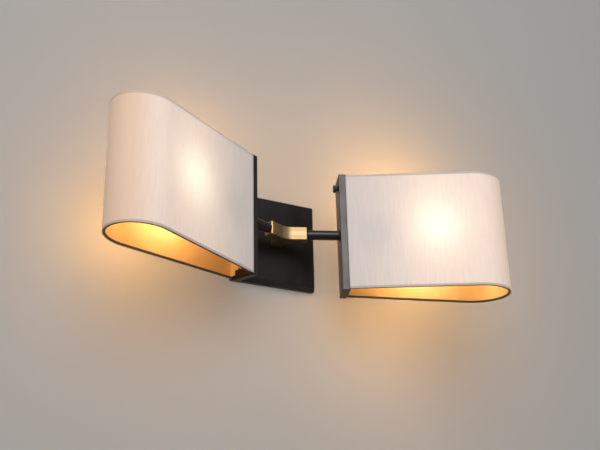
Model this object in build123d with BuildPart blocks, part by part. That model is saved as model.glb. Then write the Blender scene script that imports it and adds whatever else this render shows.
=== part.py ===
"""Double arm wall sconce.

Millimetres. The origin is on the wall, at the centre of the square wall plate.
+X points right along the wall, +Z up, and the light stands out from the wall along -Y.
Each arm leaves the brass hub level and comes forward of the wall by arm_angle.
"Out along the arm" is measured from the point where the two arm axes and the stem meet.
"""
import os
from math import asin, atan2, cos, degrees, hypot, radians, sin, sqrt, tan

from build123d import *

# ---------------------------------------------------------------- driving dimensions

# wall plate: a square pressed cover, open at the back, whose sides flare out to a short rim
plate_size = 114.3
plate_depth = 13.4
plate_flare = 4.0
plate_flare_depth = 8.4
plate_wall = 1.5
plate_corner_round = 1.6
plate_edge_round = 0.8

# strap behind the cover, which screws to a box in the wall
strap_width = 30.0
strap_thickness = 1.8
strap_side_gap = 1.0
strap_flange_reach = 6.2
strap_bend_round = 1.5
box_hole_spacing = 88.9
box_slot_width = 5.0
box_slot_length = 10.0
supply_hole_diameter = 20.0
cover_screw_diameter = 2.5
cover_screw_length = 6.0
cover_screw_socket = 1.3
cover_screw_socket_depth = 1.6
cover_screw_level = 3.3
earth_screw_diameter = 4.0
earth_head_diameter = 8.4
earth_head_height = 2.6
earth_screw_place = 24.0
earth_slot_width = 1.0
earth_slot_depth = 1.2

# hub: a brass Y with a stem to the wall plate and a leg for each arm
arm_angle = 23.5
stem_length = 22.1
stem_width = 15.2
hub_height = 17.3
leg_length = 31.0
leg_depth = 13.4
hub_front_round = 21.0
hub_back_round = 2.5
leg_end_chamfer = 1.3
hub_edge_chamfer = 0.4
hub_bore_diameter = 8.0

# hollow threaded nipples, nuts and the toothed washer
nipple_diameter = 10.0
nipple_bore = 7.2
thread_clearance = 0.05
hole_clearance = 0.3
hub_nipple_grip = 9.0
arm_nipple_grip = 9.5
thread_run_out = 0.5
nut_across_flats = 14.0
nut_thickness = 3.5
hub_nut_thickness = 2.8
nut_chamfer = 0.6
washer_diameter = 18.0
washer_thickness = 1.0
washer_teeth = 12
washer_tooth_gap = 1.2
washer_tooth_depth = 2.0
nipple_stand_out = 0.8
hub_nipple_stand_out = 0.4
pin_diameter = 2.0
pin_grip = 5.0
pin_drop = 6.9

# arm tubes and the upright bars at their ends
tube_diameter = 12.7
tube_wall = 1.05
bar_start = 73.0
bar_thickness = 8.8
bar_width = 35.8
bar_overhang = 1.6
bar_edge_chamfer = 0.5

# shades: a teardrop in plan, narrow at the bar and round at the far end
shade_length = 212.9
shade_half_width = 37.4
shade_start_half_width = 18.75
shade_tip_radius = 33.4
shade_side_radius = 48.1
shade_height = 158.4
fabric_thickness = 0.9
bond_gap = 0.05
lining_thickness = 0.5
rim_width = 2.8
rim_height = 2.4
rim_round = 0.7
seat_gap = 0.1
corner_match = 0.01

# carrier plate that closes the narrow end of each shade
carrier_thickness = 1.5
holder_opening_diameter = 28.0
seam_flap_edge = 4.4
seam_flap_notch_edge = 10.0
seam_flap_notch_height = 6.4

# thumb screw above and locating pin below, which hold the shade to the bar
fixing_margin = 12.0
thumb_head_diameter = 10.4
thumb_head_length = 3.4
thumb_head_chamfer = 0.5
thumb_flutes = 20
thumb_flute_diameter = 0.9
collar_diameter = 6.2
collar_length = 2.0
thumb_shank_diameter = 4.0
thumb_shank_past_carrier = 5.0
running_clearance = 0.05
boss_diameter = 6.4
boss_length = 6.0
locating_pin_diameter = 4.0
locating_pin_reach = 6.5
locating_pin_head_diameter = 7.0
locating_pin_head_height = 1.2

# lampholder for a small screw lamp
cup_diameter = 18.6
cup_length = 9.0
cup_wall = 1.2
holder_diameter = 21.0
holder_end = 60.0
holder_spigot_length = 3.2
holder_edge_round = 1.0
holder_rib_width = 2.4
holder_rib_height = 0.9
holder_mouth_bore = 15.6
holder_mouth_depth = 5.0
holder_partition = 4.0
chamber_bore = 12.0
shell_wall = 0.5
shell_clearance = 0.1
contact_diameter = 5.0
contact_thickness = 1.0
contact_stem_diameter = 1.0
contact_stand_off = 1.4
contact_travel = 1.5

# lamp: candelabra screw cap and a frosted blunt candle bulb
cap_diameter = 11.9
cap_length = 17.0
cap_thread_pitch = 2.54
cap_thread_height = 0.45
tip_diameter = 4.6
tip_length = 1.6
cap_cone_length = 3.0
cap_wall = 0.45
bulb_neck_diameter = 11.8
bulb_diameter = 34.0
bulb_belly = 46.0
bulb_length = 84.0
bulb_end_radius = 9.0
bulb_wall = 0.8

# leads, one for each arm, and the block where they meet the supply
lead_diameter = 2.6
lead_level = 1.9
lead_row = 3.6
lead_bend_in_cover = 7.8
lead_bend_in_hub = 12.0
block_place = 24.0
block_length = 15.0
block_depth = 9.6
block_height = 12.0
block_round = 0.8
block_port_depth = 5.0
lead_entry = 1.0
block_ear_height = 7.0
block_ear_thickness = 2.4
block_screw_diameter = 3.0
block_screw_head_diameter = 5.6
block_screw_head_height = 1.8

# ---------------------------------------------------------------- places worked out from them

SIDES = (("left", -1), ("right", 1))

hub_out = plate_depth + stem_length
cover_inside = plate_depth - plate_wall
plate_base = plate_size + 2 * plate_flare
plate_inner = plate_base - 2 * plate_wall
rim_depth = plate_depth - plate_flare_depth
flare_slope = atan2(plate_flare, plate_flare_depth)
cavity_bend = rim_depth - plate_wall * tan(flare_slope / 2)
cavity_front = plate_inner - 2 * (cover_inside - cavity_bend) * tan(flare_slope)
strap_length = plate_inner - 2 * strap_side_gap

washer_face = cover_inside - washer_thickness
nut_face = washer_face - hub_nut_thickness
hub_nipple_inner_end = nut_face - hub_nipple_stand_out
hub_nipple_outer_end = plate_depth + hub_nipple_grip
hub_nipple_length = hub_nipple_outer_end - hub_nipple_inner_end

bar_end = bar_start + bar_thickness
bar_height = shade_height + 2 * bar_overhang
fixing_height = shade_height / 2 - fixing_margin
carrier_start = bar_end + seat_gap
carrier_end = carrier_start + carrier_thickness
lining_inset = fabric_thickness + bond_gap
shade_inner_inset = lining_inset + lining_thickness

arm_nipple_start = leg_length - arm_nipple_grip
arm_nut_end = bar_end + nut_thickness
cup_start = arm_nut_end
cup_end = cup_start + cup_length
arm_nipple_end = cup_start + cup_wall + 2 * nipple_stand_out
holder_start = cup_end - holder_spigot_length
holder_mouth = bar_end + holder_end
cap_end = holder_mouth - holder_mouth_depth
cap_start = cap_end - cap_length
tip_start = cap_start - tip_length
contact_start = tip_start - contact_thickness
shell_bore = cap_diameter + 2 * shell_clearance
shell_outer = shell_bore + 2 * shell_wall
shell_pocket = shell_outer + 2 * running_clearance
shell_end = cap_end
shell_start = contact_start - contact_stand_off
partition_start = shell_start - holder_partition
contact_stem_length = contact_stand_off + holder_partition + contact_travel

thread_radius = nipple_diameter / 2 + thread_clearance
block_port_diameter = lead_diameter + 2 * running_clearance
lead_end = partition_start


def shade_geometry(inset):
    """Return the teardrop's slope, arc centres and radii, moved in from the outside by inset."""
    tip_radius = shade_tip_radius - inset
    side_radius = shade_side_radius - inset
    tip_centre = shade_length - shade_tip_radius
    side_drop = shade_side_radius - shade_half_width
    spread = shade_side_radius - shade_tip_radius
    side_centre = tip_centre - sqrt(spread**2 - side_drop**2)
    rise = -side_drop - shade_start_half_width
    reach = hypot(side_centre, rise)
    slope = atan2(rise, side_centre) + asin(shade_side_radius / reach)
    turn = atan2(side_drop, tip_centre - side_centre)
    return tip_radius, side_radius, tip_centre, side_centre, side_drop, slope, turn


def side_offset(inset, along):
    """Half width of the teardrop on its straight side, at a distance along from the narrow end."""
    slope = shade_geometry(inset)[5]
    return shade_start_half_width + along * tan(slope) - inset / cos(slope)


def draw_teardrop(inset, start):
    """Draw the closed teardrop in the line builder in use, from start to the rounded end."""
    tip_radius, side_radius, tip_centre, side_centre, side_drop, slope, turn = shade_geometry(inset)
    origin = bar_end
    first = start - origin
    half = side_offset(inset, first)
    touch_x = origin + side_centre - side_radius * sin(slope)
    touch_y = side_radius * cos(slope) - side_drop
    meet_x = origin + tip_centre + tip_radius * cos(turn)
    meet_y = tip_radius * sin(turn)
    for hand in (1, -1):
        top_angle = 90 + degrees(slope)
        sweep_angle = degrees(turn) - top_angle
        Line((start, hand * half), (touch_x, hand * touch_y))
        CenterArc(
            (origin + side_centre, -hand * side_drop),
            side_radius,
            hand * top_angle,
            hand * sweep_angle,
        )
    ThreePointArc((meet_x, meet_y), (origin + tip_centre + tip_radius, 0), (meet_x, -meet_y))
    Line((start, half), (start, -half))


def arm_direction(side):
    """Unit vector out along an arm: side is 1 for the right arm and -1 for the left."""
    return Vector(side * cos(radians(arm_angle)), -sin(radians(arm_angle)), 0)


def wall_point(across, up):
    """Plane against the wall, facing out from it, at a point across and up from the origin."""
    return Plane(origin=(across, 0, up), x_dir=(1, 0, 0), z_dir=(0, -1, 0))


def plan_plane(side, level):
    """Level plane whose x runs out along the arm. Its y is towards the wall on the right arm."""
    return Plane(origin=(0, -hub_out, level), x_dir=arm_direction(side), z_dir=(0, 0, 1))


def cross_plane(side, along, level=0.0):
    """Upright plane across the arm, at a distance out along it, facing outwards."""
    out = arm_direction(side)
    centre = Vector(0, -hub_out, level) + out * along
    return Plane(origin=centre, x_dir=out.cross(Vector(0, 0, 1)), z_dir=out)


def arm_axis(side, level=0.0):
    """The arm's axis, or the line parallel to it at another level."""
    return Axis((0, -hub_out, level), arm_direction(side))


def round_bar(plane, outer, inner, length, mode=Mode.ADD):
    """Extrude a round bar from a plane, with a bore where inner is more than nothing."""
    with BuildSketch(plane) as ring:
        Circle(outer / 2)
        if inner > 0:
            Circle(inner / 2, mode=Mode.SUBTRACT)
    extrude(ring.sketch, amount=length, mode=mode)


def drill(plane, diameter, depth):
    """Cut a plain round hole from a plane."""
    with BuildSketch(plane) as disc:
        Circle(diameter / 2)
    extrude(disc.sketch, amount=depth, mode=Mode.SUBTRACT)


def save(piece, name):
    """Label a finished piece and write it to its own file."""
    piece.label = name
    export_step(piece, f"parts/{name}.step")


os.makedirs("parts", exist_ok=True)

# ---------------------------------------------------------------- wall plate

with BuildPart() as wall_plate:
    with BuildSketch(Plane.XZ):
        RectangleRounded(plate_base, plate_base, plate_corner_round)
    extrude(amount=rim_depth)
    with BuildSketch(Plane.XZ.offset(rim_depth)):
        RectangleRounded(plate_base, plate_base, plate_corner_round)
    with BuildSketch(Plane.XZ.offset(plate_depth)):
        RectangleRounded(plate_size, plate_size, plate_corner_round)
    loft()
    front = wall_plate.faces().sort_by(Axis.Y)[0]
    fillet(front.edges(), plate_edge_round)
    # the hollow behind it follows the same bend, one wall thickness in
    with BuildSketch(Plane.XZ):
        Rectangle(plate_inner, plate_inner)
    extrude(amount=cavity_bend, mode=Mode.SUBTRACT)
    with BuildSketch(Plane.XZ.offset(cavity_bend)):
        Rectangle(plate_inner, plate_inner)
    with BuildSketch(Plane.XZ.offset(cover_inside)):
        Rectangle(cavity_front, cavity_front)
    loft(mode=Mode.SUBTRACT)
    # the hub's nipple and its anti-turn pin pass through the front
    drill(Plane.XZ.offset(cover_inside), nipple_diameter + 2 * hole_clearance, plate_wall)
    with BuildSketch(Plane.XZ.offset(cover_inside)):
        with Locations((0, -pin_drop)):
            Circle(pin_diameter / 2 + running_clearance)
    extrude(amount=plate_wall, mode=Mode.SUBTRACT)
    # a clearance hole in each side for the cover screws
    with BuildSketch(Plane.YZ.offset(-plate_base / 2)):
        with Locations((-cover_screw_level, 0)):
            Circle(cover_screw_diameter / 2 + hole_clearance)
    extrude(amount=plate_base, mode=Mode.SUBTRACT)

save(wall_plate.part, "wall_plate")

# ---------------------------------------------------------------- mounting strap

with BuildPart() as mounting_strap:
    with BuildSketch(Plane.XY.offset(-strap_width / 2)) as strap_profile:
        with Locations((0, -strap_flange_reach / 2)):
            Rectangle(strap_length, strap_flange_reach)
        fillet(strap_profile.vertices().group_by(Axis.Y)[-1], strap_bend_round)
        with Locations((0, -(strap_thickness + strap_flange_reach) / 2)):
            Rectangle(
                strap_length - 2 * strap_thickness,
                strap_flange_reach - strap_thickness,
                mode=Mode.SUBTRACT,
            )
    extrude(amount=strap_width)
    # slots for the wall box and the hole for the supply cable
    with BuildSketch(Plane.XZ):
        with GridLocations(box_hole_spacing, 0, 2, 1):
            SlotOverall(box_slot_length, box_slot_width)
        Circle(supply_hole_diameter / 2)
    extrude(amount=strap_thickness, mode=Mode.SUBTRACT)
    # threads for the earth screw and the block's screw
    with BuildSketch(Plane.XZ):
        with Locations((-earth_screw_place, 0)):
            Circle(earth_screw_diameter / 2 + thread_clearance)
        with Locations((block_place + block_length / 2, (block_height + block_ear_height) / 2)):
            Circle(block_screw_diameter / 2 + thread_clearance)
    extrude(amount=strap_thickness, mode=Mode.SUBTRACT)
    # threads for the cover screws in both flanges
    with BuildSketch(Plane.YZ.offset(-strap_length / 2)):
        with Locations((-cover_screw_level, 0)):
            Circle(cover_screw_diameter / 2 + thread_clearance)
    extrude(amount=strap_length, mode=Mode.SUBTRACT)

save(mounting_strap.part, "mounting_strap")

# ---------------------------------------------------------------- cover and earth screws

with BuildPart() as cover_screws:
    for _, side in SIDES:
        head_plane = Plane(
            origin=(side * (plate_base / 2 - seat_gap), -cover_screw_level, 0),
            x_dir=(0, 1, 0),
            z_dir=(-side, 0, 0),
        )
        round_bar(head_plane, cover_screw_diameter, 0, cover_screw_length)
        with BuildSketch(head_plane):
            RegularPolygon(cover_screw_socket / 2, 6, major_radius=False)
        extrude(amount=cover_screw_socket_depth, mode=Mode.SUBTRACT)

save(cover_screws.part, "cover_screws")

with BuildPart() as earth_screw:
    earth_plane = wall_point(-earth_screw_place, 0)
    head_base = earth_plane.offset(strap_thickness)
    round_bar(earth_plane, earth_screw_diameter, 0, strap_thickness)
    round_bar(head_base, earth_head_diameter, 0, earth_head_height)
    top_edges = earth_screw.faces().sort_by(Axis.Y)[0].edges()
    chamfer(top_edges, earth_head_height / 4)
    with BuildSketch(head_base.offset(earth_head_height)):
        Rectangle(earth_head_diameter, earth_slot_width)
        Rectangle(earth_slot_width, earth_head_diameter)
    extrude(amount=-earth_slot_depth, mode=Mode.SUBTRACT)

save(earth_screw.part, "earth_screw")

# ---------------------------------------------------------------- hub

leg_axis = arm_direction(1)
leg_back = Vector(-leg_axis.Y, leg_axis.X, 0) * (leg_depth / 2)
meeting = Vector(0, -hub_out, 0)
leg_end = meeting + leg_axis * leg_length
inner_corner_reach = (stem_width / 2 - leg_back.X) / leg_axis.X
inner_corner = meeting + leg_axis * inner_corner_reach + leg_back
front_notch = Vector(0, -hub_out - leg_depth / 2 / leg_axis.X, 0)
right_half = [Vector(stem_width / 2, -plate_depth, 0), inner_corner, leg_end + leg_back, leg_end - leg_back]
left_half = [Vector(-corner.X, corner.Y, 0) for corner in reversed(right_half)]

with BuildPart() as hub:
    with BuildSketch(Plane.XY.offset(-hub_height / 2)) as hub_outline:
        with BuildLine():
            Polyline(*right_half, front_notch, *left_half, close=True)
        make_face()
        end_corners = hub_outline.vertices().filter_by(lambda v: abs(v.X) > leg_end.X - leg_depth / 2)
        chamfer(end_corners, leg_end_chamfer)
        notch_corner = hub_outline.vertices().sort_by(lambda v: abs(v.X))[0]
        fillet(notch_corner, hub_front_round)
        stem_corners = hub_outline.vertices().filter_by(lambda v: abs(v.Y - inner_corner.Y) < corner_match)
        fillet(stem_corners, hub_back_round)
    extrude(amount=hub_height)
    level_edges = hub.faces().filter_by(Axis.Z).edges()
    chamfer(level_edges, hub_edge_chamfer)
    # wire way through the stem and both legs, opened out for the nipples
    drill(Plane.XZ.offset(plate_depth), hub_bore_diameter, stem_length)
    drill(Plane.XZ.offset(plate_depth), 2 * thread_radius, hub_nipple_grip + thread_run_out)
    with BuildSketch(Plane.XZ.offset(plate_depth)):
        with Locations((0, -pin_drop)):
            Circle(pin_diameter / 2 + running_clearance)
    extrude(amount=pin_grip, mode=Mode.SUBTRACT)
    for _, side in SIDES:
        drill(cross_plane(side, 0), hub_bore_diameter, leg_length)
        nipple_seat = arm_nipple_start - thread_run_out
        drill(cross_plane(side, nipple_seat), 2 * thread_radius, leg_length - nipple_seat)

save(hub.part, "hub")

# ---------------------------------------------------------------- what clamps the hub to the cover

with BuildPart() as hub_nipple:
    round_bar(Plane.XZ.offset(hub_nipple_inner_end), nipple_diameter, nipple_bore, hub_nipple_length)

save(hub_nipple.part, "hub_nipple")

with BuildPart() as hub_washer:
    washer_bore = nipple_diameter + 2 * hole_clearance
    round_bar(Plane.XZ.offset(washer_face), washer_diameter, washer_bore, washer_thickness)
    with BuildSketch(Plane.XZ.offset(washer_face)):
        with PolarLocations(washer_diameter / 2, washer_teeth):
            Rectangle(2 * washer_tooth_depth, washer_tooth_gap)
    extrude(amount=washer_thickness, mode=Mode.SUBTRACT)

save(hub_washer.part, "hub_washer")

with BuildPart() as hub_nut:
    with BuildSketch(Plane.XZ.offset(nut_face)):
        RegularPolygon(nut_across_flats / 2, 6, major_radius=False)
        Circle(thread_radius, mode=Mode.SUBTRACT)
    extrude(amount=hub_nut_thickness)
    outer_corners = hub_nut.faces().sort_by(Axis.Y)[-1].outer_wire().edges()
    chamfer(outer_corners, nut_chamfer)

save(hub_nut.part, "hub_nut")

with BuildPart() as anti_turn_pin:
    with BuildSketch(Plane.XZ.offset(cover_inside)):
        with Locations((0, -pin_drop)):
            Circle(pin_diameter / 2)
    extrude(amount=plate_wall + pin_grip)

save(anti_turn_pin.part, "anti_turn_pin")

# ---------------------------------------------------------------- connector block

block_base = strap_thickness
block_front = block_base + block_depth
ear_level = (block_height + block_ear_height) / 2

with BuildPart() as terminal_block:
    with BuildSketch(Plane.XZ.offset(block_base)):
        with Locations((block_place + block_length / 2, 0)):
            RectangleRounded(block_length, block_height, block_round)
    extrude(amount=block_depth)
    with BuildSketch(Plane.XZ.offset(block_base)):
        with Locations((block_place + block_length / 2, ear_level - block_round / 2)):
            Rectangle(block_ear_height, block_ear_height + block_round)
        with Locations((block_place + block_length / 2, ear_level)):
            Circle(block_screw_diameter / 2 + hole_clearance, mode=Mode.SUBTRACT)
    extrude(amount=block_ear_thickness)
    # two ports for the arms' leads, and two for the supply on the far side
    for port_x, port_out in ((block_place, 1), (block_place + block_length, -1)):
        port_plane = Plane(origin=(port_x, -lead_row, 0), x_dir=(0, 1, 0), z_dir=(port_out, 0, 0))
        with BuildSketch(port_plane):
            with GridLocations(0, 2 * lead_level, 1, 2):
                Circle(block_port_diameter / 2)
        extrude(amount=block_port_depth, mode=Mode.SUBTRACT)

save(terminal_block.part, "terminal_block")

with BuildPart() as terminal_screw:
    screw_plane = wall_point(block_place + block_length / 2, ear_level)
    round_bar(screw_plane, block_screw_diameter, 0, strap_thickness + block_ear_thickness)
    screw_head = screw_plane.offset(strap_thickness + block_ear_thickness)
    round_bar(screw_head, block_screw_head_diameter, 0, block_screw_head_height)
    chamfer(terminal_screw.faces().sort_by(Axis.Y)[0].edges(), block_screw_head_height / 4)
    with BuildSketch(screw_head.offset(block_screw_head_height)):
        Rectangle(block_screw_head_diameter, block_screw_head_height / 3)
    extrude(amount=-block_screw_head_height / 2, mode=Mode.SUBTRACT)

save(terminal_screw.part, "terminal_screw")

# ---------------------------------------------------------------- the two arms

for hand, side in SIDES:
    out = arm_direction(side)

    with BuildPart() as arm_tube:
        tube_bore = tube_diameter - 2 * tube_wall
        round_bar(cross_plane(side, leg_length), tube_diameter, tube_bore, bar_start - leg_length)

    save(arm_tube.part, f"arm_tube_{hand}")

    with BuildPart() as arm_nipple:
        nipple_plane = cross_plane(side, arm_nipple_start)
        round_bar(nipple_plane, nipple_diameter, nipple_bore, arm_nipple_end - arm_nipple_start)

    save(arm_nipple.part, f"arm_nipple_{hand}")

    with BuildPart() as shade_bar:
        with BuildSketch(cross_plane(side, bar_start)):
            Rectangle(bar_width, bar_height)
        extrude(amount=bar_thickness)
        chamfer(shade_bar.edges(), bar_edge_chamfer)
        nipple_hole = nipple_diameter + 2 * hole_clearance
        thumb_hole = thumb_shank_diameter + 2 * hole_clearance
        drill(cross_plane(side, bar_start), nipple_hole, bar_thickness)
        drill(cross_plane(side, bar_start, fixing_height), thumb_hole, bar_thickness)
        pin_seat = cross_plane(side, bar_end, -fixing_height)
        drill(pin_seat, locating_pin_diameter + 2 * running_clearance, -locating_pin_reach - seat_gap)

    save(shade_bar.part, f"shade_bar_{hand}")

    with BuildPart() as arm_nut:
        with BuildSketch(cross_plane(side, bar_end)):
            RegularPolygon(nut_across_flats / 2, 6, major_radius=False)
            Circle(thread_radius, mode=Mode.SUBTRACT)
        extrude(amount=nut_thickness)

    save(arm_nut.part, f"arm_nut_{hand}")

    # ------------------------------------------------ thumb screw and its collar

    head_start = bar_start - collar_length - thumb_head_length
    shank_end = carrier_end + thumb_shank_past_carrier

    with BuildPart() as thumb_screw:
        round_bar(cross_plane(side, head_start, fixing_height), thumb_head_diameter, 0, thumb_head_length)
        chamfer(thumb_screw.edges().filter_by(GeomType.CIRCLE), thumb_head_chamfer)
        with BuildSketch(cross_plane(side, head_start, fixing_height)):
            with PolarLocations(thumb_head_diameter / 2, thumb_flutes):
                Circle(thumb_flute_diameter / 2)
        extrude(amount=thumb_head_length, mode=Mode.SUBTRACT)
        shank_plane = cross_plane(side, head_start + thumb_head_length, fixing_height)
        round_bar(shank_plane, thumb_shank_diameter, 0, shank_end - head_start - thumb_head_length)

    save(thumb_screw.part, f"thumb_screw_{hand}")

    with BuildPart() as thumb_collar:
        collar_bore = thumb_shank_diameter + 2 * running_clearance
        collar_end = cross_plane(side, bar_start - collar_length, fixing_height)
        round_bar(collar_end, collar_diameter, collar_bore, collar_length)

    save(thumb_collar.part, f"thumb_collar_{hand}")

    # ------------------------------------------------ shade carrier and its locating pin

    carrier_half = side_offset(shade_inner_inset, seat_gap)

    with BuildPart() as shade_carrier:
        with BuildSketch(cross_plane(side, carrier_start)):
            Rectangle(2 * carrier_half, shade_height)
            Circle(holder_opening_diameter / 2, mode=Mode.SUBTRACT)
        extrude(amount=carrier_thickness)
        round_bar(cross_plane(side, carrier_end, fixing_height), boss_diameter, 0, boss_length)
        screw_bore = thumb_shank_diameter + 2 * running_clearance
        drill(cross_plane(side, carrier_start, fixing_height), screw_bore, carrier_thickness + boss_length)
        drill(cross_plane(side, carrier_start, -fixing_height), locating_pin_diameter, carrier_thickness)

    save(shade_carrier.part, f"shade_carrier_{hand}")

    with BuildPart() as locating_pin:
        pin_base = cross_plane(side, carrier_end, -fixing_height)
        round_bar(pin_base, locating_pin_head_diameter, 0, locating_pin_head_height)
        round_bar(pin_base, locating_pin_diameter, 0, -carrier_thickness - locating_pin_reach)
        pin_head_edges = locating_pin.edges().filter_by(GeomType.CIRCLE).group_by(SortBy.RADIUS)[-1]
        chamfer(pin_head_edges, locating_pin_head_height / 3)

    save(locating_pin.part, f"locating_pin_{hand}")

    # ------------------------------------------------ fabric, lining and rims of the shade

    with BuildPart() as shade_fabric:
        with BuildSketch(plan_plane(side, -shade_height / 2)):
            with BuildLine():
                draw_teardrop(0, carrier_start)
            make_face()
        extrude(amount=shade_height)
        with BuildSketch(plan_plane(side, -shade_height / 2)):
            with BuildLine():
                draw_teardrop(fabric_thickness, bar_end - fabric_thickness)
            make_face()
        extrude(amount=shade_height, mode=Mode.SUBTRACT)

    save(shade_fabric.part, f"shade_fabric_{hand}")

    lining_height = shade_height - 2 * rim_height

    with BuildPart() as shade_lining:
        with BuildSketch(plan_plane(side, -lining_height / 2)):
            with BuildLine():
                draw_teardrop(lining_inset, carrier_start)
            make_face()
        extrude(amount=lining_height)
        with BuildSketch(plan_plane(side, -lining_height / 2)):
            with BuildLine():
                draw_teardrop(shade_inner_inset, bar_end - fabric_thickness)
            make_face()
        extrude(amount=lining_height, mode=Mode.SUBTRACT)
        # the seam flap, turned in over the carrier on the wall side
        flap_outer = side_offset(shade_inner_inset, carrier_end - bar_end) + lining_thickness / 2
        with BuildSketch(plan_plane(side, -lining_height / 2)):
            with Locations((carrier_end + lining_thickness / 2, side * (seam_flap_edge + flap_outer) / 2)):
                Rectangle(lining_thickness, flap_outer - seam_flap_edge)
        extrude(amount=lining_height)
        with BuildSketch(plan_plane(side, -lining_height / 2)):
            notch_width = seam_flap_notch_edge - seam_flap_edge
            notch_centre = (seam_flap_notch_edge + seam_flap_edge) / 2
            with Locations((carrier_end + lining_thickness / 2, side * notch_centre)):
                Rectangle(2 * lining_thickness, notch_width)
        extrude(amount=seam_flap_notch_height, mode=Mode.SUBTRACT)
        drill(cross_plane(side, carrier_end), holder_opening_diameter, lining_thickness)

    save(shade_lining.part, f"shade_lining_{hand}")

    for place, base in (("top", shade_height / 2 - rim_height), ("bottom", -shade_height / 2)):
        with BuildPart() as shade_rim:
            with BuildSketch(plan_plane(side, base)):
                with BuildLine():
                    draw_teardrop(lining_inset, carrier_end)
                make_face()
            extrude(amount=rim_height)
            with BuildSketch(plan_plane(side, base)):
                with BuildLine():
                    draw_teardrop(lining_inset + rim_width, bar_end - fabric_thickness)
                make_face()
            extrude(amount=rim_height, mode=Mode.SUBTRACT)
            fillet(shade_rim.faces().filter_by(Axis.Z).edges(), rim_round)

        save(shade_rim.part, f"shade_rim_{place}_{hand}")

    # ------------------------------------------------ lampholder

    with BuildPart() as holder_cup:
        round_bar(cross_plane(side, cup_start), cup_diameter, 0, cup_length)
        fillet(holder_cup.edges().filter_by(GeomType.CIRCLE), holder_edge_round)
        drill(cross_plane(side, cup_start + cup_wall), cup_diameter - 2 * cup_wall, cup_length)
        drill(cross_plane(side, cup_start), 2 * thread_radius, cup_wall)

    save(holder_cup.part, f"holder_cup_{hand}")

    with BuildPart() as holder_body:
        spigot = cup_diameter - 2 * cup_wall - 2 * running_clearance
        round_bar(cross_plane(side, holder_start), spigot, 0, holder_spigot_length)
        round_bar(cross_plane(side, cup_end), holder_diameter, 0, holder_mouth - cup_end)
        fillet(holder_body.edges().filter_by(GeomType.CIRCLE).sort_by(arm_axis(side))[-1], holder_edge_round)
        rib_start = holder_mouth - 2 * holder_rib_width
        round_bar(cross_plane(side, rib_start), holder_diameter + 2 * holder_rib_height, 0, holder_rib_width)
        drill(cross_plane(side, holder_start), chamber_bore, partition_start - holder_start)
        drill(cross_plane(side, shell_start), shell_pocket, shell_end - shell_start)
        drill(cross_plane(side, shell_end), holder_mouth_bore, holder_mouth_depth)
        stem_hole = contact_stem_diameter + 2 * running_clearance
        drill(cross_plane(side, partition_start), stem_hole, holder_partition)

    save(holder_body.part, f"holder_body_{hand}")

    with BuildPart() as holder_shell:
        round_bar(cross_plane(side, shell_start), shell_outer, shell_bore, shell_end - shell_start)

    save(holder_shell.part, f"holder_shell_{hand}")

    with BuildPart() as holder_contact:
        round_bar(cross_plane(side, contact_start), contact_diameter, 0, contact_thickness)
        round_bar(cross_plane(side, contact_start), contact_stem_diameter, 0, -contact_stem_length)

    save(holder_contact.part, f"holder_contact_{hand}")

    # ------------------------------------------------ lamp

    lamp_axis = arm_axis(side)

    with BuildPart() as lamp_cap:
        crest = cap_diameter / 2
        root = crest - cap_thread_height
        thread_start = cap_start + cap_cone_length
        turns = int((cap_end - thread_start) / cap_thread_pitch)
        with BuildSketch(plan_plane(side, 0)):
            with BuildLine():
                points = [(cap_start, 0), (cap_start, tip_diameter / 2), (thread_start, root)]
                for turn in range(turns):
                    points.append((thread_start + (turn + 0.5) * cap_thread_pitch, crest))
                    points.append((thread_start + (turn + 1) * cap_thread_pitch, root))
                points.append((cap_end, root))
                points.append((cap_end, 0))
                Polyline(*points, close=True)
            make_face()
        revolve(axis=lamp_axis)
        drill(cross_plane(side, thread_start), 2 * (root - cap_wall), cap_end - thread_start)

    save(lamp_cap.part, f"lamp_cap_{hand}")

    with BuildPart() as lamp_tip:
        round_bar(cross_plane(side, tip_start), tip_diameter, 0, tip_length)
        fillet(lamp_tip.edges().filter_by(GeomType.CIRCLE).sort_by(lamp_axis)[0], tip_length / 2)

    save(lamp_tip.part, f"lamp_tip_{hand}")

    with BuildPart() as bulb:
        for wall, mode in ((0, Mode.ADD), (bulb_wall, Mode.SUBTRACT)):
            neck = bulb_neck_diameter / 2 - wall
            belly = bulb_diameter / 2 - wall
            end = bulb_end_radius - wall
            first = cap_end
            last = cap_end + bulb_length - wall
            with BuildSketch(plan_plane(side, 0)):
                with BuildLine():
                    Spline(
                        (first, neck),
                        (first + bulb_belly, belly),
                        (last - end, end * (1 + bulb_end_radius / bulb_diameter)),
                        (last, 0),
                        tangents=((1, 0), (0, -1)),
                    )
                    Line((last, 0), (first, 0))
                    Line((first, 0), (first, neck))
                make_face()
            revolve(axis=lamp_axis, mode=mode)

    save(bulb.part, f"bulb_{hand}")

    # ------------------------------------------------ lead from the block to the lampholder

    lead_height = -side * lead_level
    lead_start = (block_place + lead_entry, -lead_row, lead_height)
    lead_corner_in_cover = (0, -lead_row, lead_height)
    lead_corner_in_hub = (0, -hub_out, lead_height)
    lead_finish = Vector(0, -hub_out, lead_height) + out * lead_end

    with BuildPart() as lead:
        with BuildLine() as route:
            FilletPolyline(
                lead_start,
                lead_corner_in_cover,
                lead_corner_in_hub,
                lead_finish,
                radius=[lead_bend_in_cover, lead_bend_in_hub],
            )
        with BuildSketch(Plane(origin=lead_start, z_dir=(-1, 0, 0))):
            Circle(lead_diameter / 2)
        sweep()

    save(lead.part, f"lead_{hand}")
    lead_length = route.wire().length
    print(f"lead {hand}: {lead_length:.1f} mm long, bends of {lead_bend_in_cover} and {lead_bend_in_hub} mm")
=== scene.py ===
"""The looks of the double arm wall sconce: its finishes, shade cloth, wall, lights and camera."""

import math

import bmesh
import bpy
from mathutils import Matrix, Vector


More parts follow.
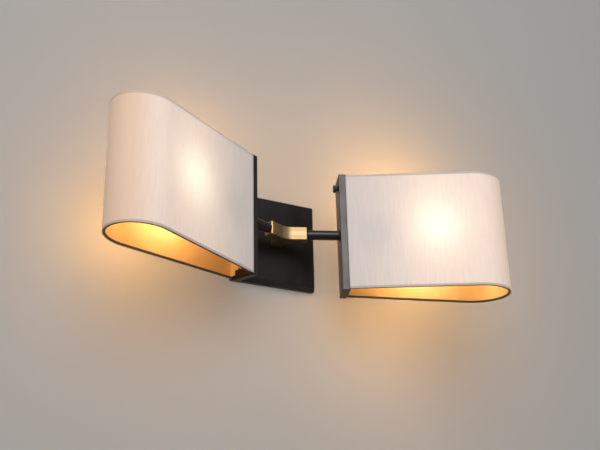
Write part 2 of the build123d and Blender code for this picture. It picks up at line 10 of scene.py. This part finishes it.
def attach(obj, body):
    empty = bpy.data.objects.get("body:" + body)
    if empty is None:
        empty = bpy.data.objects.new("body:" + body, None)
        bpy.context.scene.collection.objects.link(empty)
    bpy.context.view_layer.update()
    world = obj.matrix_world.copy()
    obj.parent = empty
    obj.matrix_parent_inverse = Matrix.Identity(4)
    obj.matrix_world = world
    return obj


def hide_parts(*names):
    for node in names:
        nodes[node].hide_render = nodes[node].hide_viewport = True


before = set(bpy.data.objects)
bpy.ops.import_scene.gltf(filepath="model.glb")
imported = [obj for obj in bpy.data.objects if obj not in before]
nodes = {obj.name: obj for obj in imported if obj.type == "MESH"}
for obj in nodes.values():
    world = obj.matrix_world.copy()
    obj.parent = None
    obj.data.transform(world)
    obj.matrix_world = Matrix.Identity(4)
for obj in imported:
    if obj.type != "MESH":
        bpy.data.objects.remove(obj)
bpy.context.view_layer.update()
SIDES = (("left", -1), ("right", 1))

# ---------------------------------------------------------------- sizes, in metres, as in the CAD

ARM_ANGLE = math.radians(23.5)
HUB_OUT = 0.0355  # from the wall to the point where the lines of the two arms meet

# out along an arm from that point
BAR_END = 0.0818
CLOTH_START = 0.0819
LAMP_CENTRE = 0.190

SHADE_LENGTH = 0.2129
SHADE_HALF_WIDTH = 0.0374
SHADE_START_HALF_WIDTH = 0.01875
SHADE_TIP_RADIUS = 0.0334
SHADE_SIDE_RADIUS = 0.0481
SHADE_HALF_HEIGHT = 0.0792
RIM_HEIGHT = 0.0024

CLOTH_THICKNESS = 0.0009
CLOTH_STEPS = 84  # round each half of the teardrop
CLOTH_ROWS = 44  # up its outside face
HEM_ROLL = 0.00045
HEM_CORNER = 0.0002
HEM_BEVEL = 0.0001
GROOVE_LEVEL = SHADE_HALF_HEIGHT - RIM_HEIGHT - 0.0004
GROOVE_HALF_WIDTH = 0.0022
GROOVE_DEPTH = 0.00006


def arm_out(side):
    """Unit vector out along an arm."""
    return Vector((side * math.cos(ARM_ANGLE), -math.sin(ARM_ANGLE), 0))


def arm_across(side):
    """Level unit vector across an arm, towards the wall."""
    return Vector((side * math.sin(ARM_ANGLE), math.cos(ARM_ANGLE), 0))


def arm_point(side, along, across, up):
    """A point given by its distance out along the arm, across it towards the wall, and up."""
    return Vector((0, -HUB_OUT, up)) + arm_out(side) * along + arm_across(side) * across


def add_to_scene(name, data):
    thing = bpy.data.objects.new(name, data)
    bpy.context.scene.collection.objects.link(thing)
    return thing


# ---------------------------------------------------------------- shader helpers


def scaled(colour, factor):
    return [min(1, part * factor) for part in colour]


class Maker:
    """Builds one node material, a node at a time. Colours are red, green and blue."""

    def __init__(self, name):
        self.material = bpy.data.materials.new(name)
        self.material.use_nodes = True
        self.tree = self.material.node_tree
        self.tree.nodes.clear()
        self.output = self.tree.nodes.new("ShaderNodeOutputMaterial")

    def node(self, kind, settings=None, **inputs):
        """Adds a node. An input's name has underscores for its spaces."""
        made = self.tree.nodes.new("ShaderNode" + kind)
        for key, value in (settings or {}).items():
            setattr(made, key, value)
        for key, value in inputs.items():
            self.feed(made.inputs[key.replace("_", " ")], value)
        return made

    def feed(self, socket, value):
        """Links a socket or a node's first output, or sets a constant."""
        if isinstance(value, bpy.types.NodeSocket):
            self.tree.links.new(value, socket)
        elif isinstance(value, bpy.types.Node):
            self.tree.links.new(value.outputs[0], socket)
        elif socket.type == "RGBA":
            socket.default_value = (*value, 1)
        else:
            socket.default_value = value

    def feed_all(self, made, values, start=0):
        """Feeds a node's inputs in turn."""
        for index, value in enumerate(values, start):
            self.feed(made.inputs[index], value)

    def place(self):
        """Where a point lies on the object, in metres."""
        return self.node("TexCoord").outputs["Object"]

    def math(self, operation, first, second=0.0):
        """Arithmetic on two numbers, or on the first where the operation takes one."""
        made = self.node("Math", {"operation": operation})
        self.feed_all(made, (first, second))
        return made.outputs[0]

    def plus(self, first, second):
        return self.math("ADD", first, second)

    def times(self, first, second):
        return self.math("MULTIPLY", first, second)

    def rest_of(self, value):
        """What is missing to 1."""
        return self.math("SUBTRACT", 1.0, value)

    def average(self, first, second, share=0.5):
        """The two values added up, the first with its share and the second with the rest."""
        return self.plus(self.times(first, share), self.times(second, 1 - share))

    def minus(self, first, second):
        made = self.node("VectorMath", {"operation": "SUBTRACT"})
        self.feed_all(made, (first, second))
        return made.outputs["Vector"]

    def dot(self, first, second):
        made = self.node("VectorMath", {"operation": "DOT_PRODUCT"})
        self.feed_all(made, (first, second))
        return made.outputs["Value"]

    def level(self, vector):
        """A vector's height."""
        return self.node("SeparateXYZ", Vector=vector).outputs["Z"]

    def mix(self, factor, first, second):
        """From the first colour to the second, which are the node's inputs 6 and 7."""
        made = self.node("Mix", {"data_type": "RGBA"})
        self.feed(made.inputs[0], factor)
        self.feed_all(made, (first, second), 6)
        return made.outputs[2]

    def span(self, value, low, high, to_low=0.0, to_high=1.0, smooth=False):
        """Maps low to to_low and high to to_high, and holds those ends."""
        kind = "SMOOTHSTEP" if smooth else "LINEAR"
        made = self.node("MapRange", {"interpolation_type": kind})
        self.feed_all(made, (value, low, high, to_low, to_high))
        return made.outputs[0]

    def noise(self, vector, scale, detail=3.0, roughness=0.5):
        made = self.node("TexNoise", Vector=vector, Scale=scale, Detail=detail, Roughness=roughness)
        return made.outputs[0]

    def bands(self, vector, direction, scale):
        """Threads side by side."""
        settings = {"wave_type": "BANDS", "bands_direction": direction}
        made = self.node("TexWave", settings, Vector=vector, Scale=scale, Distortion=0.6)
        return made.outputs["Fac"]

    def stretched(self, vector, scale):
        """Draws a pattern out along the axes whose number in scale is small."""
        return self.node("Mapping", Vector=vector, Scale=scale).outputs[0]

    def bump(self, height, strength, distance):
        return self.node("Bump", Strength=strength, Distance=distance, Height=height).outputs[0]

    def edge_wear(self, width):
        """1 along edges and 0 on flats, by how far a rounded normal turns from the true one."""
        rounded = self.node("Bevel", {"samples": 4}, Radius=width)
        true = self.node("NewGeometry").outputs["Normal"]
        return self.span(self.rest_of(self.dot(rounded, true)), 0.02, 0.35)

    def finish(self, shader):
        self.tree.links.new(shader.outputs[0], self.output.inputs["Surface"])
        return self.material


def painted_metal(name, colour, worn, roughness, ior=1.5):
    """Satin powder coat: fine orange peel, faint cloudiness, lighter rubbed edges."""
    m = Maker(name)
    place = m.place()
    cloud = m.noise(place, 38.0, detail=4.0, roughness=0.6)
    grain = m.noise(place, 2600.0, detail=2.0, roughness=0.6)
    patches = m.span(m.noise(place, 160.0), 0.35, 0.65, 0.15, 0.6)
    wear = m.times(m.edge_wear(0.0006), patches)
    paint = m.mix(m.span(cloud, 0.35, 0.65), scaled(colour, 0.86), scaled(colour, 1.14))
    body = m.node(
        "BsdfPrincipled",
        Base_Color=m.mix(wear, paint, worn),
        Roughness=m.span(cloud, 0.3, 0.7, roughness - 0.04, roughness + 0.05),
        IOR=ior,
        Normal=m.bump(grain, 0.12, 0.00004),
    )
    return m.finish(body)


def metal(name, colour, dark, roughness, direction, grain, coat=0.0):
    """Bare metal with a brushed grain, whose streaks run along the axes with a small number in
    direction. Its depth is grain."""
    m = Maker(name)
    place = m.place()
    streak = m.noise(m.stretched(place, direction), 900.0, detail=5.0, roughness=0.75)
    broad = m.noise(m.stretched(place, [0.25 * d for d in direction]), 500.0, roughness=0.6)
    cloud = m.noise(place, 55.0)
    tone = m.average(streak, broad, 0.55)
    base = m.mix(m.span(tone, 0.36, 0.64), dark, colour)
    base = m.mix(m.span(cloud, 0.4, 0.75, 0.0, 0.25), base, dark)
    rubbed = m.times(m.edge_wear(0.0005), 0.5)
    body = m.node(
        "BsdfPrincipled",
        Base_Color=m.mix(rubbed, base, scaled(colour, 1.18)),
        Metallic=1.0,
        Roughness=m.span(tone, 0.3, 0.7, roughness + 0.07, roughness - 0.05),
        Normal=m.bump(tone, grain, 0.00006),
        Coat_Weight=coat,
        Coat_Roughness=0.3,
    )
    return m.finish(body)


def plastic(name, colour, roughness):
    """Moulded plastic or porcelain with a faint mottle."""
    m = Maker(name)
    place = m.place()
    cloud = m.noise(place, 70.0)
    grain = m.noise(place, 1800.0, detail=2.0)
    body = m.node(
        "BsdfPrincipled",
        Base_Color=m.mix(cloud, scaled(colour, 0.93), colour),
        Roughness=m.span(cloud, 0.3, 0.7, roughness, roughness + 0.08),
        Normal=m.bump(grain, 0.1, 0.00003),
    )
    return m.finish(body)


def lining_material():
    """Gold foil on a stiff backing: warm, satin and faintly creased."""
    m = Maker("gold_lining")
    place = m.place()
    fine = m.noise(m.stretched(place, (1, 1, 0.12)), 1300.0, detail=4.0, roughness=0.7)
    cloud = m.noise(place, 26.0)
    base = m.mix(m.span(cloud, 0.3, 0.7), (0.72, 0.51, 0.24), (0.80, 0.59, 0.30))
    body = m.node(
        "BsdfPrincipled",
        Base_Color=m.mix(m.span(fine, 0.3, 0.7, 0.0, 0.3), base, (0.70, 0.44, 0.16)),
        Metallic=0.35,
        Roughness=m.span(fine, 0.3, 0.7, 0.42, 0.52),
        Normal=m.bump(fine, 0.15, 0.00004),
    )
    return m.finish(body)


def bulb_material():
    """Frosted glass, lit from inside."""
    m = Maker("frosted_bulb")
    place = m.place()
    frost = m.noise(place, 2200.0, detail=2.0, roughness=0.6)
    cloud = m.noise(place, 60.0, detail=2.0)
    body = m.node(
        "BsdfPrincipled",
        Base_Color=m.mix(cloud, (0.92, 0.88, 0.80), (0.96, 0.93, 0.87)),
        Roughness=m.span(frost, 0.3, 0.7, 0.38, 0.5),
        Emission_Color=(1.0, 0.80, 0.52),
        Emission_Strength=3.0,
        Normal=m.bump(frost, 0.1, 0.00003),
    )
    return m.finish(body)


# ---------------------------------------------------------------- finishes of the CAD pieces

black = painted_metal("satin_black", (0.0125, 0.0085, 0.0075), (0.06, 0.055, 0.05), 0.36, ior=1.34)
bronze = painted_metal("dark_bronze", (0.055, 0.040, 0.027), (0.22, 0.16, 0.10), 0.38)

LEVEL_GRAIN = (0.05, 0.05, 1.0)
BRASS = (0.40, 0.285, 0.148)
BRASS_DARK = (0.285, 0.192, 0.088)
brass_hub = metal("brushed_brass", BRASS, BRASS_DARK, 0.42, LEVEL_GRAIN, 0.35, coat=0.25)
brass_small = metal("satin_brass", (0.84, 0.62, 0.30), (0.66, 0.46, 0.20), 0.26, (1, 1, 0.2), 0.15)
steel = metal("zinc_steel", (0.62, 0.62, 0.60), (0.46, 0.46, 0.45), 0.38, (1, 0.2, 1), 0.15)
nickel = metal("nickel_cap", (0.74, 0.72, 0.69), (0.58, 0.56, 0.53), 0.25, (1, 1, 0.3), 0.12)
solder = metal("solder", (0.60, 0.60, 0.60), (0.45, 0.45, 0.46), 0.42, (1, 1, 1), 0.2)
cream = plastic("cream_holder", (0.80, 0.76, 0.64), 0.32)
white = plastic("white_block", (0.78, 0.77, 0.72), 0.40)
sleeve = plastic("lead_sleeve", (0.74, 0.74, 0.72), 0.48)
green = painted_metal("green_screw", (0.03, 0.20, 0.07), (0.30, 0.33, 0.25), 0.3)
gold = lining_material()
lamp_glass = bulb_material()

FINISHES = {
    "wall_plate": black,
    "shade_bar": black,
    "arm_tube": black,
    "cover_screws": black,
    "thumb_screw": black,
    "thumb_collar": black,
    "shade_carrier": black,
    "shade_rim_top": bronze,
    "shade_rim_bottom": bronze,
    "holder_cup": bronze,
    "hub": brass_hub,
    "arm_nut": brass_small,
    "locating_pin": brass_small,
    "holder_shell": brass_small,
    "holder_contact": brass_small,
    "mounting_strap": steel,
    "hub_nipple": steel,
    "hub_washer": steel,
    "hub_nut": steel,
    "anti_turn_pin": steel,
    "arm_nipple": steel,
    "terminal_screw": steel,
    "lamp_cap": nickel,
    "lamp_tip": solder,
    "holder_body": cream,
    "terminal_block": white,
    "lead": sleeve,
    "earth_screw": green,
    "shade_lining": gold,
    "bulb": lamp_glass,
}

# the two shade_fabric nodes have no finish, because the cloth below replaces them
for name, thing in nodes.items():
    kind = name.removesuffix("_left").removesuffix("_right")
    if kind in FINISHES:
        thing.data.materials.clear()
        thing.data.materials.append(FINISHES[kind])

# ---------------------------------------------------------------- shade cloth

CLOTH_DARK = (0.632, 0.575, 0.553)
CLOTH_LIGHT = (0.725, 0.667, 0.646)
CLOTH_WEFT = (0.605, 0.532, 0.493)
# painted shade on the hems, which let less of the lamp's light through
CLOTH_HEM_SHADE = (0.42, 0.36, 0.33)
# painted shade with warm light from the wall, for the round end of each shade
CLOTH_ROUND_END_SHADE = (0.56, 0.405, 0.305)
GLOW_TINT = (1.0, 0.60, 0.34)
CORE_TINT = (1.0, 0.92, 0.62)

# the lamp's glow, a bright core in a wide halo, and the lampholder's shadow in it: where they are,
# out along the arm and up, and how far they reach along and up
GLOW_ALONG, GLOW_UP = 0.198, 0.005
CORE_REACH = (0.036, 0.040)
CORE_GLOW = 0.28
HALO_REACH = (0.085, 0.105)
HALO_GLOW = 0.17
HOLDER_ALONG, HOLDER_UP = 0.108, -0.004
HOLDER_REACH = (0.030, 0.026)
HOLDER_SHADOW = 0.8

# an even glow that grows out along the arm, and painted shade with warm light from the wall on the
# round end, which is darker and warmer; by side
SPREAD_FROM, SPREAD_TO = 0.080, 0.205
SPREAD_GLOW = {-1: 0.17, 1: 0.20}
ROUND_END_FROM, ROUND_END_TO = 0.258, 0.293
ROUND_END_SHADE_SHARE = {-1: 0.8, 1: 0.3}

# the hems, along the top and bottom edges, are painted darker, as shade where the thick rolled hem
# lets less lamp light through, and glow less
HEM_FROM, HEM_TO = SHADE_HALF_HEIGHT - 0.0031, SHADE_HALF_HEIGHT - 0.0025
HEM_SHADE_SHARE = 0.55
HEM_GLOW_LOSS = 0.8


def spot(m, place, side, centre, reach):
    """1 at the centre, falling away along the arm and up and down."""
    offset = m.minus(place, centre)
    along = m.math("ABSOLUTE", m.dot(offset, arm_out(side)))
    up = m.math("ABSOLUTE", m.level(offset))
    first = m.math("POWER", m.math("DIVIDE", along, reach[0]), 2.0)
    second = m.math("POWER", m.math("DIVIDE", up, reach[1]), 2.0)
    return m.math("EXPONENT", m.times(m.plus(first, second), -1.0))


def cloth_material(hand, side):
    """Off-white slubbed weave, lit through from the lamp behind it."""
    m = Maker(f"shade_cloth_{hand}")
    place = m.place()

    # threads: upright slubs over a finer cross weave, in distances along and up the cloth
    uv = m.node("UVMap", {"uv_map": "cloth"}).outputs[0]
    slub = m.noise(m.stretched(uv, (1.0, 0.035, 1.0)), 1500.0, detail=4.0, roughness=0.7)
    slub_wide = m.noise(m.stretched(uv, (1.0, 0.05, 1.0)), 420.0, roughness=0.6)
    weft = m.noise(m.stretched(uv, (0.06, 1.0, 1.0)), 1700.0, roughness=0.6)
    threads = m.average(m.bands(uv, "X", 620.0), m.bands(uv, "Y", 520.0))
    body_tone = m.average(slub, slub_wide)
    relief = m.average(body_tone, threads, 0.6)

    # colour: the weave, painted shade on the hem at top and bottom, and painted shade with warm
    # wall light on the round end
    height = m.math("ABSOLUTE", m.level(place))
    hem = m.span(height, HEM_FROM, HEM_TO, smooth=True)
    reach = m.dot(m.minus(place, arm_point(side, 0, 0, 0)), arm_out(side))
    # how much painted shade and warm wall light the round end gets, more on the left shade
    end_shade_share = ROUND_END_SHADE_SHARE[side]
    round_end_shade = m.span(reach, ROUND_END_FROM, ROUND_END_TO, 0.0, end_shade_share, smooth=True)
    base = m.mix(m.span(body_tone, 0.34, 0.66), CLOTH_DARK, CLOTH_LIGHT)
    base = m.mix(m.span(weft, 0.3, 0.7, 0.0, 0.18), base, CLOTH_WEFT)
    base = m.mix(m.times(hem, HEM_SHADE_SHARE), base, CLOTH_HEM_SHADE)
    base = m.mix(round_end_shade, base, CLOTH_ROUND_END_SHADE)

    # light from the lamp behind
    lamp = arm_point(side, GLOW_ALONG, 0, GLOW_UP)
    holder = arm_point(side, HOLDER_ALONG, 0, HOLDER_UP)
    core = spot(m, place, side, lamp, CORE_REACH)
    halo = spot(m, place, side, lamp, HALO_REACH)
    shadow = spot(m, place, side, holder, HOLDER_REACH)
    halo_lit = m.times(halo, m.rest_of(m.times(shadow, HOLDER_SHADOW)))
    spread = m.span(reach, SPREAD_FROM, SPREAD_TO, 0.0, SPREAD_GLOW[side], smooth=True)
    glow = m.times(core, CORE_GLOW)
    glow = m.plus(glow, m.times(halo_lit, HALO_GLOW))
    glow = m.plus(glow, m.times(spread, m.rest_of(shadow)))
    glow = m.times(glow, m.rest_of(m.times(hem, HEM_GLOW_LOSS)))
    glow = m.times(glow, m.span(body_tone, 0.3, 0.7, 0.9, 1.08))

    body = m.node(
        "BsdfPrincipled",
        Base_Color=base,
        Roughness=m.span(slub, 0.3, 0.7, 0.78, 0.9),
        Sheen_Weight=0.25,
        Sheen_Roughness=0.4,
        Emission_Color=m.mix(core, GLOW_TINT, CORE_TINT),
        Emission_Strength=glow,
        Normal=m.bump(relief, 0.35, 0.00012),
    )
    return m.finish(body)


def teardrop(inset):
    """Points round the shade, inset from the cloth's outside face, from its edge on the wall side
    round the tip and back: (out along the arm, across it, distance along the cloth). Each half is
    a straight side, a wide arc and half of the tip."""
    tip_radius = SHADE_TIP_RADIUS - inset
    side_radius = SHADE_SIDE_RADIUS - inset
    tip_centre = SHADE_LENGTH - SHADE_TIP_RADIUS
    drop = SHADE_SIDE_RADIUS - SHADE_HALF_WIDTH  # of the wide arc's centre past the middle line
    side_centre = tip_centre - math.sqrt((SHADE_SIDE_RADIUS - SHADE_TIP_RADIUS) ** 2 - drop**2)
    rise = -drop - SHADE_START_HALF_WIDTH
    slope = math.atan2(rise, side_centre)  # of the straight side
    slope += math.asin(SHADE_SIDE_RADIUS / math.hypot(side_centre, rise))
    turn = math.atan2(drop, tip_centre - side_centre)  # of the tip, in each half
    start_x = CLOTH_START - BAR_END
    start_y = SHADE_START_HALF_WIDTH + start_x * math.tan(slope) - inset / math.cos(slope)
    touch_x = side_centre - side_radius * math.sin(slope)
    touch_y = side_radius * math.cos(slope) - drop
    straight = math.hypot(touch_x - start_x, touch_y - start_y)
    side_arc = side_radius * (math.pi / 2 + slope - turn)
    half = straight + side_arc + tip_radius * turn

    def point(distance):
        """A point of the half towards the wall, from the bar's end of the shade."""
        if distance <= straight:
            share = distance / straight
            return start_x + (touch_x - start_x) * share, start_y + (touch_y - start_y) * share
        distance -= straight
        if distance <= side_arc:
            angle = math.pi / 2 + slope - distance / side_radius
            x = side_centre + side_radius * math.cos(angle)
            return x, side_radius * math.sin(angle) - drop
        angle = turn - (distance - side_arc) / tip_radius
        return tip_centre + tip_radius * math.cos(angle), tip_radius * math.sin(angle)

    line = []
    for index in range(2 * CLOTH_STEPS + 1):
        distance = half * index / CLOTH_STEPS
        towards_wall = distance <= half
        x, y = point(distance if towards_wall else 2 * half - distance)
        line.append((BAR_END + x, y if towards_wall else -y, distance))
    return line


def cloth_section():
    """The cloth cut across, as (inset, height) all round it: its outside face with a groove along
    each hem, the rolled top edge, its inside face and the rolled bottom edge."""
    top = SHADE_HALF_HEIGHT
    flat = top - HEM_ROLL
    points = []
    for row in range(CLOTH_ROWS + 1):
        height = -flat + 2 * flat * row / CLOTH_ROWS
        nearness = 1 - abs(abs(height) - GROOVE_LEVEL) / GROOVE_HALF_WIDTH
        points.append((GROOVE_DEPTH * max(0.0, nearness), height))
    roll = []
    for step in (0.25, 0.5, 0.75):
        angle = step * math.pi / 2
        roll.append((HEM_ROLL * (1 - math.cos(angle)), flat + HEM_ROLL * math.sin(angle)))
    points += roll
    points.append((CLOTH_THICKNESS - HEM_BEVEL, top))
    points.append((CLOTH_THICKNESS, top - HEM_CORNER))
    points.append((CLOTH_THICKNESS, 0.0))
    points.append((CLOTH_THICKNESS, -top + HEM_CORNER))
    points.append((CLOTH_THICKNESS - HEM_BEVEL, -top))
    points += [(inset, -height) for inset, height in reversed(roll)]
    return [(round(inset, 7), height) for inset, height in points]


def cloth_mesh(name, side):
    """The cloth as one closed skin, and its length. The UV map holds distances along and up it."""
    section = cloth_section()
    insets = {inset for inset, _ in section}
    outlines = {inset: teardrop(inset) for inset in insets}
    distances = [distance for _, _, distance in outlines[0.0]]
    bm = bmesh.new()
    layer = bm.loops.layers.uv.new("cloth")
    rings = []
    for index in range(len(distances)):
        ring = []
        for inset, height in section:
            along, across, _ = outlines[inset][index]
            ring.append(bm.verts.new(arm_point(side, along, across, height)))
        rings.append(ring)
    for index, (ring, following) in enumerate(zip(rings, rings[1:])):
        for k in range(len(section)):
            n = (k + 1) % len(section)
            quad = [ring[k], ring[n], following[n], following[k]]
            if side > 0:
                quad.reverse()
            face = bm.faces.new(quad)
            face.smooth = True
            for loop in face.loops:
                distance = distances[index if loop.vert in ring else index + 1]
                loop[layer].uv = (distance, loop.vert.co.z)
    for ring in (rings[0], rings[-1]):
        face = bm.faces.new(ring)
        for loop in face.loops:
            loop[layer].uv = (0.0, loop.vert.co.z)
    bmesh.ops.recalc_face_normals(bm, faces=bm.faces)
    mesh = bpy.data.meshes.new(name)
    bm.to_mesh(mesh)
    bm.free()
    return mesh, distances[-1]


for hand, side in SIDES:
    mesh, length = cloth_mesh(f"shade_cloth_{hand}", side)
    cloth = add_to_scene(f"shade_cloth_{hand}", mesh)
    mesh.materials.append(cloth_material(hand, side))
    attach(cloth, f"shade_{hand}")
    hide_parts(f"shade_fabric_{hand}")

# ---------------------------------------------------------------- wall and floor

WALL_PAINT = (0.280, 0.276, 0.271)
FLOOR_PAINT = (0.36, 0.35, 0.34)
HALF_WIDTH, DEPTH = 3, 4
FLOOR_LEVEL, WALL_TOP = -1.5, 2.2
WALL_CORNERS = [
    (-HALF_WIDTH, 0, FLOOR_LEVEL),
    (HALF_WIDTH, 0, FLOOR_LEVEL),
    (HALF_WIDTH, 0, WALL_TOP),
    (-HALF_WIDTH, 0, WALL_TOP),
]
FLOOR_CORNERS = [
    (-HALF_WIDTH, -DEPTH, FLOOR_LEVEL),
    (HALF_WIDTH, -DEPTH, FLOOR_LEVEL),
    (HALF_WIDTH, 0, FLOOR_LEVEL),
    (-HALF_WIDTH, 0, FLOOR_LEVEL),
]


def one_sided_paint(name, colour):
    """Plain pale paint on the front, and nothing to see from behind."""
    m = Maker(name)
    soft = m.noise(m.place(), 3.0, detail=2.0)
    paint = m.node("BsdfDiffuse", Color=m.mix(soft, scaled(colour, 0.985), scaled(colour, 1.015)))
    mixed = m.node("MixShader")
    behind = m.node("NewGeometry").outputs["Backfacing"]
    m.feed_all(mixed, (behind, paint, m.node("BsdfTransparent")))
    return m.finish(mixed)


def backdrop_plane(name, corners, colour):
    mesh = bpy.data.meshes.new(name)
    mesh.from_pydata(corners, [], [(0, 1, 2, 3)])
    mesh.materials.append(one_sided_paint(f"{name}_paint", colour))
    thing = add_to_scene(name, mesh)
    return thing


backdrop = bpy.data.collections.new("backdrop")
backdrop.objects.link(backdrop_plane("wall", WALL_CORNERS, WALL_PAINT))
backdrop.objects.link(backdrop_plane("floor", FLOOR_CORNERS, FLOOR_PAINT))

# ---------------------------------------------------------------- light

SOFT_WHITE = (1.0, 0.985, 0.97)
OBJECT_MIDDLE = (0, -0.05, 0)
LAMP_RADIUS = 0.012

# two small lamps in each shade; by side
LAMP_HEIGHTS = (("low", -0.030), ("high", 0.030))
LAMP_POWER = {-1: 0.142, 1: 0.17}
LAMP_COLOUR = {-1: (1.0, 0.70, 0.39), 1: (1.0, 0.88, 0.60)}

# what the cloth and the open top and bottom of each shade let out onto the wall: the side, the
# place along, across and up from the arm, and the power
SPILL_COLOUR = (1.0, 0.48, 0.10)
SPILLS = (
    (-1, 0.205, 0.052, -0.020, 0.51),
    (-1, 0.125, 0.030, 0.095, 0.62),
    (1, 0.215, 0.052, 0.040, 1.3),
    (1, 0.205, 0.020, 0.098, 0.70),
    (1, 0.180, -0.005, -0.092, 0.50),
    (-1, 0.190, 0.000, -0.110, 0.14),
)


def add_lamp(name, kind, place, power, colour):
    data = bpy.data.lights.new(name, kind)
    data.energy = power
    data.color = colour
    lamp = add_to_scene(name, data)
    lamp.location = place
    lamp.visible_camera = False
    return lamp


def softbox(name, place, size, power, colour=(1, 1, 1), target=OBJECT_MIDDLE):
    """A square lamp that faces its target."""
    lamp = add_lamp(name, "AREA", place, power, colour)
    lamp.data.shape = "SQUARE"
    lamp.data.size = size
    lamp.rotation_mode = "QUATERNION"
    lamp.rotation_quaternion = (Vector(target) - Vector(place)).to_track_quat("-Z", "Y")
    return lamp


def small_lamp(name, place, power, colour):
    """A small round lamp that shows in no reflection."""
    lamp = add_lamp(name, "POINT", place, power, colour)
    lamp.data.shadow_soft_size = LAMP_RADIUS
    lamp.visible_glossy = False
    return lamp


def light_only(lamp, lit):
    """The lamp lights what is in one collection, and nothing else."""
    lamp.light_linking.receiver_collection = lit


softbox("key", (-0.78, -2.38, 1.05), size=1.9, power=50, colour=SOFT_WHITE)
softbox("fill_right", (1.9, -1.8, 0.3), size=1.8, power=3.5, colour=SOFT_WHITE)
softbox("fill_left", (-2.1, -1.4, 0.1), size=1.8, power=4.8, colour=SOFT_WHITE)

# a softbox that only the black paint mirrors, as a sheen on the bars
black_pieces = bpy.data.collections.new("black_pieces")
for thing in nodes.values():
    if black.name in thing.data.materials:
        black_pieces.objects.link(thing)
gloss = softbox("gloss", (-0.68, -2.10, 0.92), size=0.8, power=28)
gloss.visible_diffuse = False
light_only(gloss, black_pieces)

for hand, side in SIDES:
    for name, height in LAMP_HEIGHTS:
        place = arm_point(side, LAMP_CENTRE, 0, height)
        small_lamp(f"lamp_{hand}_{name}", place, LAMP_POWER[side], LAMP_COLOUR[side])

for index, (side, along, across, up, power) in enumerate(SPILLS):
    place = arm_point(side, along, across, up)
    light_only(small_lamp(f"spill_{index}", place, power, SPILL_COLOUR), backdrop)

# an even wash that keeps the wall pale and its shadows soft
wash = softbox("wash", (0, -3.2, 0.3), size=2.5, power=50, target=(0, 0, 0))
wash.data.use_shadow = False
light_only(wash, backdrop)

world = bpy.data.worlds.new("studio")
world.use_nodes = True
background = world.node_tree.nodes["Background"]
background.inputs["Color"].default_value = (0.62, 0.61, 0.60, 1)
background.inputs["Strength"].default_value = 0.46
bpy.context.scene.world = world

# ---------------------------------------------------------------- camera, as in the photograph

CAMERA_PLACE = (-0.5649, -1.0984, -0.4942)
YAW, PITCH, ROLL = 0.5067, 0.3992, -0.0232  # to the right of +Y, up, and about the line of sight
FOCAL_PX, WIDTH_PX = 997.42, 600

forward = Vector((math.sin(YAW), math.cos(YAW), math.tan(PITCH))) * math.cos(PITCH)
level_right = Vector((math.cos(YAW), -math.sin(YAW), 0))
upward = level_right.cross(forward)
right = math.cos(ROLL) * level_right + math.sin(ROLL) * upward
top = -math.sin(ROLL) * level_right + math.cos(ROLL) * upward

view = bpy.data.cameras.new("camera")
view.sensor_width = 36.0
view.lens = FOCAL_PX / WIDTH_PX * view.sensor_width
view.clip_start = 0.02
camera = add_to_scene("camera", view)
turn = Matrix((right, top, -forward)).transposed()
camera.matrix_world = Matrix.Translation(CAMERA_PLACE) @ turn.to_4x4()
bpy.context.scene.camera = camera

bpy.context.scene.view_settings.view_transform = "Standard"
